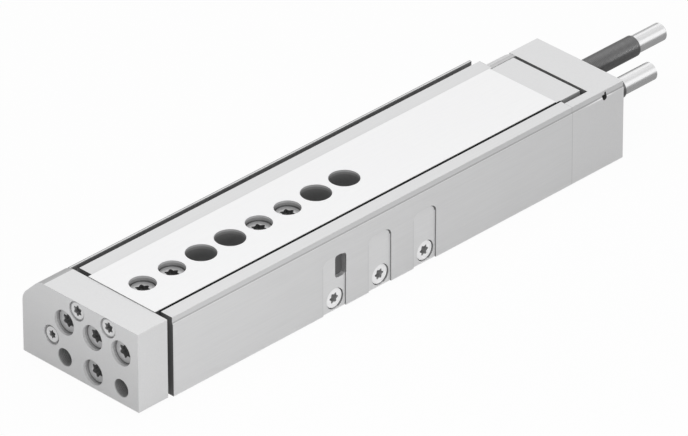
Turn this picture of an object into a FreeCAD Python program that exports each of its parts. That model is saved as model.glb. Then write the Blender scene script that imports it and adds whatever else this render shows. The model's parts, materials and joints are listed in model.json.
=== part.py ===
import FreeCAD, Part
import os
import Sketcher

# Pneumatic slide table, 16 mm piston, 150 mm stroke, modelled with the table drawn back.
# Frame: origin at the centre of the housing's mounting face, +X the advance direction,
# +Y the side with the air ports, +Z up. Millimetres.

os.makedirs("parts", exist_ok=True)
doc = FreeCAD.newDocument("slide_table")
sheet = doc.addObject("Spreadsheet::Sheet", "Sizes")
nodes = []

SIZES = {
    # housing, a channel with the cylinder bore under its floor
    "housing_front": 140.5,
    "housing_rear": 142.0,
    "housing_half": 33.0,
    "housing_top": 45.4,
    "lip_in": 0.6,
    "lip_low": 42.3,
    "lip_foot": 41.3,
    "near_gap": 1.0,
    "far_gap": 0.2,
    "channel_floor": 21.5,
    "groove_half": 6.9,
    "groove_floor": 17.6,
    # ball guide
    "rail_face": 21.6,
    "rail_back": 28.6,
    "rail_low": 25.0,
    "rail_high": 36.0,
    "rail_rear": 138.0,
    "rail_front": 131.0,
    "track_z": 30.5,
    "ball_dia": 5.0,
    "ball_y": 20.9,
    "ball_gap": 0.04,
    "track_relief": 0.5,
    "cage_t": 0.8,
    "cage_h": 9.6,
    "cage_len": 117.0,
    "cage_x": 4.0,
    "cage_hole_gap": 0.1,
    "ball_pitch": 11.5,
    "ball_first": 51.75,
    "preload_x": 90.0,
    "preload_dia": 4.0,
    # moving table
    "stroke": 150.0,
    "table_top": 46.0,
    "table_low": 36.5,
    "table_half": 23.5,
    "table_rear": 139.5,
    "core_half": 20.2,
    "core_low": 22.5,
    "core_flange": 12.0,
    "slot_half": 5.4,
    "slot_top": 30.4,
    "slot_front": 29.0,
    "grid": 20.0,
    "first_hole": 129.0,
    "small_seat": 14.0,
    "small_sink": 3.2,
    "small_head": 13.0,
    "small_head_len": 3.8,
    "small_screw_len": 11.0,
    "large_seat": 16.2,
    "large_seat_depth": 11.0,
    "table_thread": 8.5,
    "table_thread_depth": 20.0,
    "block_screw_len": 24.0,
    "block_screw_y": 15.5,
    "block_screw_z": 34.0,
    # rear block of the table
    "block_len": 17.6,
    "block_top": 45.2,
    "tongue_half": 6.6,
    "tongue_low": 17.9,
    # yoke plate
    "yoke_rear": 143.5,
    "yoke_t": 20.0,
    "yoke_in": 0.8,
    "bar_width": 13.5,
    "yoke_low": 0.5,
    "yoke_top": 45.5,
    "yoke_chamfer": 12.0,
    "yoke_round": 9.0,
    "row_low": 9.5,
    "row_high": 29.5,
    "bolt": 6.0,
    "bolt_gap": 0.6,
    "bolt_len": 20.0,
    "bolt_head": 12.8,
    "bolt_head_len": 6.0,
    "bolt_key": 7.8,
    "screw_seat": 13.8,
    "screw_sink": 3.1,
    "yoke_pin": 4.0,
    "yoke_pin_len": 16.0,
    "yoke_pin_in": 7.0,
    "yoke_thread": 9.8,
    "yoke_thread_depth": 15.0,
    "plug_y": 11.0,
    "plug_z": 40.0,
    "plug_dia": 9.6,
    "plug_rim": 10.8,
    "plug_rim_depth": 1.6,
    "plug_sink": 0.8,
    "plug_len": 9.0,
    "plug_key": 6.0,
    # side bar
    "bar_run": 3.3,
    "bar_wall": 2.6,
    "bar_rear": 139.5,
    "bar_low": 3.0,
    "bar_inset": 0.3,
    "foot_in": 8.2,
    "foot_low": 12.0,
    "foot_top": 23.5,
    "foot_len": 13.0,
    "foot_gap": 0.7,
    "bar_screw_in": 3.5,
    "bar_screw_z": 18.3,
    "bar_screw_head": 9.2,
    "bar_screw_head_len": 4.0,
    "bar_screw_key": 4.8,
    # cylinder
    "bore": 16.0,
    "rod": 10.0,
    "rod_gap": 0.03,
    "spigot": 6.0,
    "spigot_rear": 132.0,
    "piston_front": 112.0,
    "piston_len": 14.0,
    "piston_gap": 0.25,
    "piston_core": 11.0,
    "nut_len": 5.0,
    "seal_w": 2.0,
    "band_w": 3.0,
    "magnet_w": 2.4,
    "band_gap": 0.03,
    "bush_front": 138.0,
    "bush_len": 14.0,
    "ring_w": 1.6,
    "ring_dia": 17.4,
    "end_plug_len": 7.0,
    # air ports
    "pocket_x": 29.0,
    "port_x": 28.0,
    "port_pitch": 32.0,
    "port_z": 6.4,
    "port_bore": 8.8,
    "port_depth": 11.0,
    "port_rim": 11.8,
    "port_rim_depth": 2.4,
    "port_head": 10.8,
    "port_head_sink": 0.8,
    "port_seal": 0.6,
    "port_plug_len": 7.0,
    "port_key": 6.0,
    "pocket_w": 16.0,
    "pocket_top": 31.5,
    "pocket_round": 4.0,
    "pocket_depth": 0.8,
    "window_x": 24.3,
    "window_w": 7.1,
    "window_low": 17.9,
    "window_top": 31.0,
    "window_round": 2.0,
    "window_depth": 3.4,
    "passage": 3.0,
    "passage_y": 15.5,
    "drill_over": 0.4,
    "passage_front": 119.5,
    "passage_rear": 131.5,
    "rear_port": 4.2,
    "rear_port_depth": 8.0,
    "return_y": 12.0,
    "return_z": 8.0,
    # rear cap
    "cap_len": 37.5,
    "recess_len": 16.8,
    "recess_near": 27.1,
    "cap_round": 13.0,
    "cap_far_in": 4.8,
    "cap_screw": 4.0,
    "cap_screw_head": 7.0,
    "cap_screw_len": 50.0,
    "cap_screw_sink": 4.4,
    "side_screw_in": 5.0,
    "side_screw_z": 17.5,
    "low_screw_y": 20.5,
    "low_screw_z": 6.5,
    "far_screw_y": 21.0,
    "far_screw_z": 8.0,
    "hole_gap": 0.4,
    "ear_screw": 3.0,
    "ear_screw_head": 5.2,
    "ear_screw_in": 2.0,
    "ear_screw_z": 20.0,
    "ear_screw_bite": 10.0,
    "lock_screw": 5.0,
    "lock_screw_in": 10.0,
    "lock_screw_len": 8.0,
    "vent_x": 23.5,
    "vent_dia": 3.0,
    "vent_z": 41.4,
    # shock absorbers
    "damper_y": 12.0,
    "damper_z": 24.8,
    "damper_dia": 10.0,
    "damper_len": 58.0,
    "chamber_dia": 6.6,
    "chamber_front": 8.0,
    "chamber_len": 38.0,
    "far_front": 143.3,
    "sleeve_dia": 11.6,
    "sleeve_run": 0.35,
    "near_sleeve_front": 160.5,
    "near_sleeve_rear": 198.8,
    "far_sleeve_front": 141.0,
    "far_sleeve_rear": 234.8,
    "adjuster_rear": 255.3,
    "pin": 3.2,
    "pin_gap": 0.05,
    "pin_out": 6.5,
    "pin_push": 6.0,
    "pin_clear": 0.3,
    "pin_head": 6.2,
    "pin_head_t": 3.0,
    "pin_in": 20.0,
    "coil_dia": 4.6,
    "coil_wire": 0.9,
    "coil_pitch": 3.0,
    # stop post
    "post_len": 14.0,
    "post_half": 5.0,
    "post_top": 29.8,
    # mounting holes in the underside
    "mount_x": 100.0,
    "mount_in": 7.0,
    "mount_bore": 6.8,
    "mount_depth": 12.0,
    "dowel_x": 60.0,
    "dowel_bore": 6.0,
    "dowel_depth": 6.0,
}


class Size:
    # a length that carries both its sheet expression and its present value

    def __init__(self, text, value):
        self.text = text
        self.value = value

    def joined(self, other, sign, value):
        return Size("(%s %s %s)" % (self.text, sign, other.text), value)

    def __add__(self, other):
        other = as_size(other)
        return self.joined(other, "+", self.value + other.value)

    def __sub__(self, other):
        other = as_size(other)
        return self.joined(other, "-", self.value - other.value)

    def __rsub__(self, other):
        return as_size(other) - self

    def __mul__(self, other):
        other = as_size(other)
        return self.joined(other, "*", self.value * other.value)

    def __truediv__(self, other):
        other = as_size(other)
        return self.joined(other, "/", self.value / other.value)

    def __neg__(self):
        return Size("(0 - %s)" % self.text, -self.value)

    __radd__ = __add__
    __rmul__ = __mul__


def as_size(thing):
    return thing if isinstance(thing, Size) else Size("%g" % thing, float(thing))


class Named:
    pass


S = Named()


def fill_sheet():
    row = 1
    for name, value in SIZES.items():
        sheet.set("A%d" % row, name)
        sheet.set("B%d" % row, "%g" % value)
        sheet.setAlias("B%d" % row, name)
        setattr(S, name, Size("Sizes." + name, value))
        row += 1
    doc.recompute()


fill_sheet()

ZERO = as_size(0)
FRONT = S.housing_front
REAR = S.housing_rear
CHANNEL_NEAR = S.table_half + S.near_gap
CHANNEL_FAR = S.table_half + S.far_gap
LIP_HALF = S.housing_half - S.lip_in
BAR_NEAR = S.housing_half + S.bar_run
YOKE_NEAR = S.housing_half - S.yoke_in
YOKE_FAR = BAR_NEAR + S.bar_width
CAP_FAR = S.housing_half - S.cap_far_in
FOOT_NEAR = S.housing_half - S.foot_in
BAR_SCREW_Y = S.housing_half - S.bar_screw_in
EAR_SCREW_Y = S.housing_half - S.ear_screw_in
SIDE_SCREW_Y = S.housing_half - S.side_screw_in
MOUNT_Y = S.housing_half - S.mount_in
SMALL_FLOOR = S.small_sink + S.small_head_len

# places in the table's row of holes, counted from the yoke plate
FIXING_HOLES = (0, 1, 4, 5)
PAYLOAD_HOLES = (2, 3, 6, 7)

NEAR_FRONT = S.table_rear + S.block_len + S.pin_clear + S.pin_out
POST_REAR = S.stroke - S.far_front + S.pin_out + S.pin_clear


def tie(obj, prop, size):
    obj.setExpression(prop, as_size(size).text)


TURNS = {
    "X": FreeCAD.Rotation(FreeCAD.Vector(0, 1, 0), 90),
    "Y": FreeCAD.Rotation(FreeCAD.Vector(1, 0, 0), -90),
    "Z": FreeCAD.Rotation(),
    "-Y": FreeCAD.Rotation(FreeCAD.Vector(1, 0, 0), 90),
    "-X": FreeCAD.Rotation(FreeCAD.Vector(0, 1, 0), -90),
    "-Z": FreeCAD.Rotation(FreeCAD.Vector(1, 0, 0), 180),
}


def place(obj, at, rotation=None):
    if rotation:
        obj.Placement = FreeCAD.Placement(FreeCAD.Vector(0, 0, 0), rotation)
    for letter, size in zip("xyz", at):
        tie(obj, ".Placement.Base." + letter, size)
    return obj


def box(name, span, at):
    obj = doc.addObject("Part::Box", name)
    for prop, size in zip(("Length", "Width", "Height"), span):
        tie(obj, prop, size)
    return place(obj, at)


def round_bar(name, dia, length, at, way="X"):
    obj = doc.addObject("Part::Cylinder", name)
    tie(obj, "Radius", as_size(dia) / 2)
    tie(obj, "Height", length)
    return place(obj, at, TURNS[way])


def taper(name, dia_one, dia_two, length, at, way="X"):
    obj = doc.addObject("Part::Cone", name)
    tie(obj, "Radius1", as_size(dia_one) / 2)
    tie(obj, "Radius2", as_size(dia_two) / 2)
    tie(obj, "Height", length)
    return place(obj, at, TURNS[way])


def prism(name, sides, corners, length, at, way="X", turn=0):
    # a prism whose corners lie on a circle of the given diameter
    obj = doc.addObject("Part::Prism", name)
    obj.Polygon = sides
    tie(obj, "Circumradius", as_size(corners) / 2)
    tie(obj, "Height", length)
    spin = FreeCAD.Rotation(FreeCAD.Vector(0, 0, 1), turn)
    return place(obj, at, TURNS[way].multiply(spin))


def fuse(name, shapes):
    obj = doc.addObject("Part::MultiFuse", name)
    obj.Shapes = shapes
    return obj


def cut(name, base, tools):
    obj = doc.addObject("Part::Cut", name)
    obj.Base = base
    obj.Tool = tools[0] if len(tools) == 1 else fuse(name + "_tools", tools)
    return obj


def group(name, shapes):
    obj = doc.addObject("Part::Compound", name)
    obj.Links = shapes
    return obj


def keep(obj, label):
    obj.Label = label
    nodes.append((label, obj))
    return obj


def new_body(label):
    return keep(doc.addObject("PartDesign::Body", label + "_body"), label)


def new_sketch(body, name, plane, offset=ZERO):
    sketch = body.newObject("Sketcher::SketchObject", name)
    for feature in body.Origin.OriginFeatures:
        if feature.Role == plane:
            sketch.AttachmentSupport = [(feature, "")]
    sketch.MapMode = "FlatFace"
    tie(sketch, ".AttachmentOffset.Base.z", offset)
    return sketch


def pin_point(sketch, geo, end, a, b):
    for kind, size in (("DistanceX", as_size(a)), ("DistanceY", as_size(b))):
        rule = Sketcher.Constraint(kind, -1, 1, geo, end, size.value)
        index = sketch.addConstraint(rule)
        sketch.setExpression("Constraints[%d]" % index, size.text)


def outline(sketch, corners):
    # closed loop of lines, each corner tied to its two sizes
    spots = [FreeCAD.Vector(as_size(a).value, as_size(b).value, 0) for a, b in corners]
    count = len(spots)
    lines = []
    for k in range(count):
        line = Part.LineSegment(spots[k], spots[(k + 1) % count])
        lines.append(sketch.addGeometry(line, False))
    for k in range(count):
        sketch.addConstraint(Sketcher.Constraint("Coincident", lines[k], 2, lines[(k + 1) % count], 1))
    for k in range(count):
        pin_point(sketch, lines[k], 1, corners[k][0], corners[k][1])


def oblong(sketch, a0, a1, b0, b1):
    outline(sketch, [(a0, b0), (a1, b0), (a1, b1), (a0, b1)])


def ring(sketch, a, b, dia):
    dia = as_size(dia)
    centre = FreeCAD.Vector(as_size(a).value, as_size(b).value, 0)
    circle = Part.Circle(centre, FreeCAD.Vector(0, 0, 1), dia.value / 2)
    geo = sketch.addGeometry(circle, False)
    pin_point(sketch, geo, 3, a, b)
    index = sketch.addConstraint(Sketcher.Constraint("Diameter", geo, dia.value))
    sketch.setExpression("Constraints[%d]" % index, dia.text)


def sweep(body, kind, sketch, length, back):
    obj = body.newObject("PartDesign::" + kind, sketch.Name + "_" + kind.lower())
    obj.Profile = sketch
    obj.Reversed = back
    tie(obj, "Length", length)
    sketch.Visibility = False
    return obj


def pad(body, sketch, length, back=False):
    return sweep(body, "Pad", sketch, length, back)


def pocket(body, sketch, length, back=False):
    return sweep(body, "Pocket", sketch, length, back)


def runs_along(edge, axis, spot):
    # a straight edge along one axis, at the given two other coordinates
    if len(edge.Vertexes) != 2 or edge.Curve.TypeId != "Part::GeomLine":
        return False
    one = edge.Vertexes[0].Point
    two = edge.Vertexes[1].Point
    others = [k for k in range(3) if k != axis]
    for k, size in zip(others, spot):
        if size is not None:
            want = as_size(size).value
            if abs(one[k] - want) > 0.02 or abs(two[k] - want) > 0.02:
                return False
        elif abs(one[k] - two[k]) > 0.02:
            return False
    return True


def dress(body, kind, base, axis, spots, size):
    # rounds or bevels straight edges of a feature
    doc.recompute()
    names = []
    for k, edge in enumerate(base.Shape.Edges):
        if any(runs_along(edge, axis, spot) for spot in spots):
            names.append("Edge%d" % (k + 1))
    obj = body.newObject("PartDesign::" + kind, base.Name + "_" + kind.lower())
    obj.Base = (base, names)
    tie(obj, "Radius" if kind == "Fillet" else "Size", size)
    return obj


def socket_screw(name, at, way, thread, length, head, head_len, key):
    # cap screw standing at the underside of its head and pointing away from it
    x, y, z = at
    shank = round_bar(name + "_shank", thread, length, at, way)
    back = {"X": "-X", "-X": "X", "Z": "-Z", "-Z": "Z", "Y": "-Y", "-Y": "Y"}[way]
    cap = round_bar(name + "_head", head, head_len, at, back)
    step = {"X": (-1, 0, 0), "-X": (1, 0, 0), "Z": (0, 0, -1), "-Z": (0, 0, 1),
            "Y": (0, -1, 0), "-Y": (0, 1, 0)}[way]
    deep = as_size(head_len) * 0.4
    mouth = [as_size(a) + deep * k for a, k in zip(at, step)]
    hexagon = prism(name + "_key", 6, key, head_len, mouth, back, 30)
    return cut(name, fuse(name + "_blank", [shank, cap]), [hexagon])


def star_key(name, across, depth, at, way):
    # six-lobed driver recess: two crossed triangles whose tips are turned off
    corners = as_size(across) * 1.2
    one = prism(name + "_a", 3, corners, depth, at, way, 0)
    two = prism(name + "_b", 3, corners, depth, at, way, 60)
    obj = doc.addObject("Part::MultiCommon", name)
    obj.Shapes = [fuse(name + "_points", [one, two]), round_bar(name + "_turned", across, depth, at, way)]
    return obj


def star_screw(name, at, way, thread, length, head, head_len, key, key_depth):
    # screw that stands at the top of its head and points away from it
    cap = round_bar(name + "_head", head, head_len, at, way)
    shank = round_bar(name + "_shank", thread, as_size(head_len) + length, at, way)
    recess = star_key(name + "_key", key, key_depth, at, way)
    return cut(name, fuse(name + "_blank", [cap, shank]), [recess])


def make_housing():
    body = new_body("housing")
    shape = new_sketch(body, "channel_section", "YZ_Plane", -REAR)
    outline(shape, [
        (S.housing_half, ZERO), (S.housing_half, S.lip_foot), (LIP_HALF, S.lip_low),
        (LIP_HALF, S.housing_top), (CHANNEL_NEAR, S.housing_top), (CHANNEL_NEAR, S.channel_floor),
        (-CHANNEL_FAR, S.channel_floor), (-CHANNEL_FAR, S.housing_top),
        (-S.housing_half, S.housing_top), (-S.housing_half, ZERO)])
    pad(body, shape, FRONT + REAR)

    seats = new_sketch(body, "rail_seats", "YZ_Plane", -REAR)
    oblong(seats, CHANNEL_NEAR - 1, S.rail_back, S.rail_low, S.rail_high)
    oblong(seats, -S.rail_back, 1 - CHANNEL_FAR, S.rail_low, S.rail_high)
    pocket(body, seats, REAR + S.rail_front, True)

    groove = new_sketch(body, "floor_groove", "YZ_Plane", -REAR)
    oblong(groove, -S.damper_y - S.groove_half, S.groove_half - S.damper_y,
           S.groove_floor, S.channel_floor + 1)
    pocket(body, groove, FRONT + REAR, True)

    bore = new_sketch(body, "cylinder_bore", "YZ_Plane", -REAR)
    ring(bore, ZERO, S.row_low, S.bore)
    pocket(body, bore, FRONT + REAR, True)

    snap = new_sketch(body, "ring_groove", "YZ_Plane", S.bush_front)
    ring(snap, ZERO, S.row_low, S.ring_dia)
    pocket(body, snap, S.ring_w, True)

    notch = new_sketch(body, "foot_notch", "YZ_Plane", FRONT + 1)
    oblong(notch, -S.housing_half - 1, -FOOT_NEAR + S.foot_gap,
           S.foot_low - S.foot_gap, S.foot_top + S.foot_gap)
    pocket(body, notch, S.foot_len + FRONT - S.yoke_rear + S.foot_gap + 1)

    ports(body)
    cap_threads(body)
    mount_holes(body)
    return body


def ports(body):
    recess = new_sketch(body, "side_recess", "XZ_Plane", -S.housing_half)
    spots = []
    for k in range(3):
        middle = S.pocket_x - S.port_pitch * k
        oblong(recess, middle - S.pocket_w / 2, middle + S.pocket_w / 2, as_size(-1), S.pocket_top)
        spots.append((middle - S.pocket_w / 2, S.pocket_top))
        spots.append((middle + S.pocket_w / 2, S.pocket_top))
    shallow = pocket(body, recess, S.pocket_depth, True)
    dress(body, "Fillet", shallow, 1, spots, S.pocket_round)

    window = new_sketch(body, "window", "XZ_Plane", -S.housing_half)
    left = S.window_x - S.window_w / 2
    right = S.window_x + S.window_w / 2
    oblong(window, left, right, S.window_low, S.window_top)
    deep = pocket(body, window, S.window_depth, True)
    corners = [(a, b) for a in (left, right) for b in (S.window_low, S.window_top)]
    dress(body, "Fillet", deep, 1, corners, S.window_round)

    bores = new_sketch(body, "port_bores", "XZ_Plane", -S.housing_half)
    rims = new_sketch(body, "port_rims", "XZ_Plane", -S.housing_half)
    pilots = new_sketch(body, "port_pilots", "XZ_Plane", -S.housing_half)
    for k in range(3):
        middle = S.port_x - S.port_pitch * k
        ring(bores, middle, S.port_z, S.port_bore)
        ring(rims, middle, S.port_z, S.port_rim)
        ring(pilots, middle, S.port_z, S.passage + 1)
    pocket(body, bores, S.port_depth, True)
    pocket(body, rims, S.pocket_depth + S.port_rim_depth, True)
    pocket(body, pilots, S.housing_half - S.passage_y + S.passage / 2 + S.drill_over, True)

    front = new_sketch(body, "front_passage", "YZ_Plane", S.port_x)
    ring(front, S.passage_y, S.port_z, S.passage)
    pocket(body, front, S.passage_front - S.port_x, True)
    rear = new_sketch(body, "rear_passage", "YZ_Plane", S.port_x - S.port_pitch * 2)
    ring(rear, S.passage_y, S.port_z, S.passage)
    pocket(body, rear, S.passage_rear + S.port_x - S.port_pitch * 2)
    back = new_sketch(body, "return_passage", "YZ_Plane", -REAR)
    ring(back, -S.return_y, S.return_z, S.passage)
    pocket(body, back, REAR + S.passage_front, True)
    link = new_sketch(body, "return_link", "XZ_Plane", S.return_y)
    ring(link, S.passage_front - S.drill_over - S.passage / 2, S.return_z, S.passage)
    pocket(body, link, S.return_y - S.bore / 4)
    cross = new_sketch(body, "cross_passages", "XZ_Plane", -S.passage_y)
    ring(cross, S.passage_front - S.drill_over - S.passage / 2, S.port_z, S.passage)
    ring(cross, S.drill_over + S.passage / 2 - S.passage_rear, S.port_z, S.passage)
    pocket(body, cross, S.passage_y - S.bore / 4, True)


def cap_spots():
    return ((SIDE_SCREW_Y, S.side_screw_z), (S.low_screw_y, S.low_screw_z), (-S.far_screw_y, S.far_screw_z))


def cap_threads(body):
    holes = new_sketch(body, "cap_threads", "YZ_Plane", -REAR)
    for y, z in cap_spots():
        ring(holes, y, z, S.cap_screw)
    pocket(body, holes, S.cap_screw_len - S.cap_len + S.cap_screw * 1.5, True)
    ear = new_sketch(body, "ear_thread", "YZ_Plane", -REAR)
    ring(ear, -EAR_SCREW_Y, S.ear_screw_z, S.ear_screw)
    pocket(body, ear, S.ear_screw * 4, True)
    preload = new_sketch(body, "preload_threads", "XZ_Plane", S.rail_back - 1)
    for k in (-1, -0.33, 0.33, 1):
        ring(preload, S.preload_x * k, S.track_z, S.preload_dia)
    pocket(body, preload, S.housing_half - S.rail_back + 1, True)


def mount_holes(body):
    holes = new_sketch(body, "mount_threads", "XY_Plane")
    for one in (-1, 1):
        for two in (-1, 1):
            ring(holes, S.mount_x * one, MOUNT_Y * two, S.mount_bore)
    pocket(body, holes, S.mount_depth, True)
    pins = new_sketch(body, "dowel_bores", "XY_Plane")
    for one in (-1, 1):
        ring(pins, S.dowel_x * one, -MOUNT_Y, S.dowel_bore)
    pocket(body, pins, S.dowel_depth, True)
    post = new_sketch(body, "post_threads", "XY_Plane", S.groove_floor)
    for k in (0.28, 0.72):
        ring(post, POST_REAR + S.post_len * k, -S.damper_y, 3)
    pocket(body, post, 6)


def make_cap():
    body = new_body("rear_cap")
    front = -REAR
    recess_end = -REAR - S.recess_len
    rear = -REAR - S.cap_len
    flange = new_sketch(body, "flange_section", "YZ_Plane", recess_end)
    outline(flange, [
        (S.housing_half, ZERO), (S.housing_half, S.lip_foot), (LIP_HALF, S.lip_low),
        (LIP_HALF, S.housing_top), (-BAR_NEAR, S.housing_top), (-BAR_NEAR, ZERO)])
    first = pad(body, flange, S.recess_len)
    dress(body, "Fillet", first, 0, [(-BAR_NEAR, S.housing_top)], S.cap_round)

    back = new_sketch(body, "rear_section", "YZ_Plane", rear)
    outline(back, [
        (S.housing_half, ZERO), (S.housing_half, S.lip_foot), (LIP_HALF, S.lip_low),
        (LIP_HALF, S.housing_top), (-CAP_FAR, S.housing_top), (-CAP_FAR, ZERO)])
    pad(body, back, S.cap_len - S.recess_len)

    recess = new_sketch(body, "block_recess", "YZ_Plane", recess_end)
    outline(recess, [
        (S.recess_near, S.housing_top + 1), (S.recess_near, S.channel_floor),
        (S.groove_half - S.damper_y, S.channel_floor), (S.groove_half - S.damper_y, S.groove_floor),
        (-S.damper_y - S.groove_half, S.groove_floor), (-S.damper_y - S.groove_half, S.channel_floor),
        (-CHANNEL_FAR, S.channel_floor), (-CHANNEL_FAR, S.housing_top + 1)])
    pocket(body, recess, S.recess_len, True)

    bores = new_sketch(body, "damper_bores", "YZ_Plane", rear)
    ring(bores, S.damper_y, S.damper_z, S.sleeve_dia)
    ring(bores, -S.damper_y, S.damper_z, S.sleeve_dia + S.sleeve_run * 2)
    pocket(body, bores, S.cap_len - S.recess_len, True)

    holes = new_sketch(body, "screw_holes", "YZ_Plane", rear)
    heads = new_sketch(body, "screw_heads", "YZ_Plane", rear)
    for y, z in cap_spots():
        ring(holes, y, z, S.cap_screw + S.hole_gap)
        ring(heads, y, z, S.cap_screw_head + S.hole_gap)
    pocket(body, holes, S.cap_len, True)
    pocket(body, heads, S.cap_screw_sink, True)
    ear = new_sketch(body, "ear_hole", "YZ_Plane", recess_end)
    ring(ear, -EAR_SCREW_Y, S.ear_screw_z, S.ear_screw + S.hole_gap)
    pocket(body, ear, S.recess_len, True)

    vent = new_sketch(body, "vent", "XZ_Plane", -S.housing_half)
    ring(vent, -REAR - S.vent_x, S.vent_z, S.vent_dia)
    pocket(body, vent, 7, True)
    nick = new_sketch(body, "vent_nick", "XZ_Plane", -S.housing_half)
    oblong(nick, -REAR - S.vent_x - 1.4, -REAR - S.vent_x - 0.2, S.vent_z, S.housing_top - 1.2)
    pocket(body, nick, 2.2, True)

    air = new_sketch(body, "rear_ports", "YZ_Plane", rear)
    ring(air, ZERO, S.row_low, S.rear_port)
    ring(air, -S.return_y, S.return_z, S.rear_port)
    pocket(body, air, S.rear_port_depth, True)
    ways = new_sketch(body, "rear_ways", "YZ_Plane", rear)
    ring(ways, ZERO, S.row_low, S.passage)
    ring(ways, -S.return_y, S.return_z, S.passage)
    pocket(body, ways, S.cap_len, True)

    lock = new_sketch(body, "lock_thread", "XY_Plane")
    ring(lock, S.lock_screw_in - REAR - S.cap_len, S.damper_y, S.lock_screw)
    pocket(body, lock, S.damper_z - S.sleeve_dia / 2, True)
    return body


def vee(sketch, face, apex, half):
    # track section with a flat relief at its root
    side = 1 if face.value < apex.value else -1
    slack = as_size(-0.5 * side)
    root = S.track_relief
    outline(sketch, [
        (face + slack, S.track_z - half), (face, S.track_z - half), (apex, S.track_z - root),
        (apex, S.track_z + root), (face, S.track_z + half), (face + slack, S.track_z + half)])


def track_sizes():
    reach = S.ball_dia / 2 * 1.41421 + S.ball_gap
    return reach


def make_rail(label, side):
    body = new_body(label)
    low, high = (S.rail_face, S.rail_back) if side > 0 else (-S.rail_back, -S.rail_face)
    bar = new_sketch(body, label + "_section", "YZ_Plane", -S.rail_rear)
    oblong(bar, low, high, S.rail_low, S.rail_high)
    base = pad(body, bar, S.rail_rear + S.rail_front)
    inner = S.rail_back * side
    dress(body, "Chamfer", base, 0, [(inner, S.rail_low), (inner, S.rail_high)], 0.6)
    reach = track_sizes()
    face = S.rail_face * side
    apex = (S.ball_y + reach - S.track_relief) * side
    half = S.ball_y + reach - S.rail_face
    track = new_sketch(body, label + "_track", "YZ_Plane", -S.rail_rear)
    vee(track, face, apex, half)
    pocket(body, track, S.rail_rear + S.rail_front, True)
    return body


def make_core():
    body = new_body("slide_core")
    bar = new_sketch(body, "core_section", "YZ_Plane", -S.table_rear)
    oblong(bar, -S.core_half, S.core_half, S.core_low, S.table_low)
    pad(body, bar, S.table_rear + S.yoke_rear - S.core_flange)
    wide = new_sketch(body, "core_flange", "YZ_Plane", S.yoke_rear - S.core_flange)
    oblong(wide, -S.table_half, S.table_half, S.core_low, S.table_low)
    pad(body, wide, S.core_flange)
    reach = track_sizes()
    half = reach - S.ball_y + S.core_half
    for side, name in ((1, "near"), (-1, "far")):
        track = new_sketch(body, "core_track_" + name, "YZ_Plane", -S.table_rear)
        vee(track, S.core_half * side, (S.ball_y - reach + S.track_relief) * side, half)
        pocket(body, track, S.table_rear + S.yoke_rear - S.core_flange, True)
    slot = new_sketch(body, "stop_slot", "YZ_Plane", -S.table_rear)
    oblong(slot, -S.damper_y - S.slot_half, S.slot_half - S.damper_y, S.core_low - 1, S.slot_top)
    pocket(body, slot, S.table_rear + S.slot_front, True)
    threads = new_sketch(body, "yoke_threads", "YZ_Plane", S.yoke_rear)
    for k in (-1, 0, 1):
        ring(threads, S.grid * k, S.row_high, S.bolt)
    for k in (-1, 1):
        ring(threads, S.grid / 2 * k, S.row_high, S.yoke_pin)
    pocket(body, threads, S.core_flange - 1)
    holes = new_sketch(body, "core_threads", "XY_Plane", S.table_low)
    for k in FIXING_HOLES:
        ring(holes, S.first_hole - S.grid * k, ZERO, S.bolt)
    pocket(body, holes, SMALL_FLOOR + S.small_screw_len + S.table_low - S.table_top + 1)
    seats = new_sketch(body, "core_payload_seats", "XY_Plane", S.table_low)
    payload = new_sketch(body, "core_payload_threads", "XY_Plane", S.table_low)
    for k in PAYLOAD_HOLES:
        ring(seats, S.first_hole - S.grid * k, ZERO, S.large_seat)
        ring(payload, S.first_hole - S.grid * k, ZERO, S.table_thread)
    pocket(body, seats, S.large_seat_depth + S.table_low - S.table_top)
    pocket(body, payload, S.table_thread_depth + S.table_low - S.table_top)
    back = new_sketch(body, "block_threads", "YZ_Plane", -S.table_rear)
    for k in (-1, 1):
        ring(back, S.block_screw_y * k, S.block_screw_z, S.cap_screw)
    pocket(body, back, S.block_screw_len + S.cap_screw_sink - S.block_len + S.cap_screw, True)
    return body


def make_table():
    body = new_body("slide_table")
    plate = new_sketch(body, "table_outline", "XY_Plane", S.table_low)
    oblong(plate, -S.table_rear, S.yoke_rear, -S.table_half, S.table_half)
    pad(body, plate, S.table_top - S.table_low)
    small = new_sketch(body, "screw_seats", "XY_Plane", S.table_top)
    through = new_sketch(body, "screw_clearance", "XY_Plane", S.table_top)
    large = new_sketch(body, "payload_seats", "XY_Plane", S.table_top)
    for k in FIXING_HOLES:
        ring(small, S.first_hole - S.grid * k, ZERO, S.small_seat)
        ring(through, S.first_hole - S.grid * k, ZERO, S.bolt + S.bolt_gap)
    for k in PAYLOAD_HOLES:
        ring(large, S.first_hole - S.grid * k, ZERO, S.large_seat)
    pocket(body, small, SMALL_FLOOR)
    pocket(body, through, S.table_top - S.table_low)
    pocket(body, large, S.table_top - S.table_low)
    return body


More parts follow.
